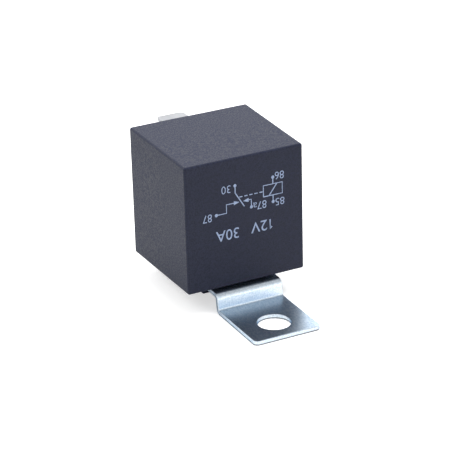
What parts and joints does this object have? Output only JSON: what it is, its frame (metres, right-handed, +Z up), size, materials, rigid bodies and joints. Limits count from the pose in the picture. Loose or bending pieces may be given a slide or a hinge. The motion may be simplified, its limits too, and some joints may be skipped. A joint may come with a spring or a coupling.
{
  "type": "automotive relay",
  "caption": "Five-pin cube relay with a black moulded cover, tab blades and a joggled steel mounting bracket with one bolt hole.",
  "frame": {"origin": "centre of the bracket's bolt hole, on the plate's underside", "axes": "+Z up through the bolt hole, from the mounting face; the relay lies on its bracket with its blades pointing along +Y; +X to the right as seen from the closed, printed end"},
  "size_m": [0.028, 0.0547, 0.0341],
  "materials": {
    "black_plastic": "fine-grained matt black nylon",
    "zinc_steel": "bright blue-white zinc plate on cold-rolled strip",
    "tinned_brass": "tinned brass strip",
    "soft_iron": "nickel-flashed soft iron",
    "natural_nylon": "natural nylon",
    "copper": "enamelled or bare copper",
    "silver": "silver contact alloy",
    "print_ink": "pale pad-printed ink"
  },
  "bodies": {
    "housing": {"cover": "black_plastic", "base": "black_plastic", "bracket": "zinc_steel", "terminal_85": "tinned_brass", "terminal_86": "tinned_brass", "terminal_30": "tinned_brass", "terminal_87": "tinned_brass", "terminal_87a": "tinned_brass", "yoke": "soft_iron", "core": "soft_iron", "bobbin": "natural_nylon", "winding": "copper", "contact_87": "silver", "contact_87a": "silver", "return_spring": "soft_iron", "shunt_braid": "copper"},
    "armature": {"armature": "soft_iron", "contact_leaf": "copper", "leaf_rivets": "soft_iron", "moving_contact": "silver"}
  },
  "joints": [
    {"name": "armature_hinge", "type": "hinge", "parent": "housing", "child": "armature", "pos_m": [0, 0.0195, 0.0091], "axis": [-1, 0, 0], "range_deg": [0, 2.6], "stiffness_Nm_per_rad": 0.005, "springref_deg": -11.46, "deforming": ["return_spring", "shunt_braid"]}
  ]
}
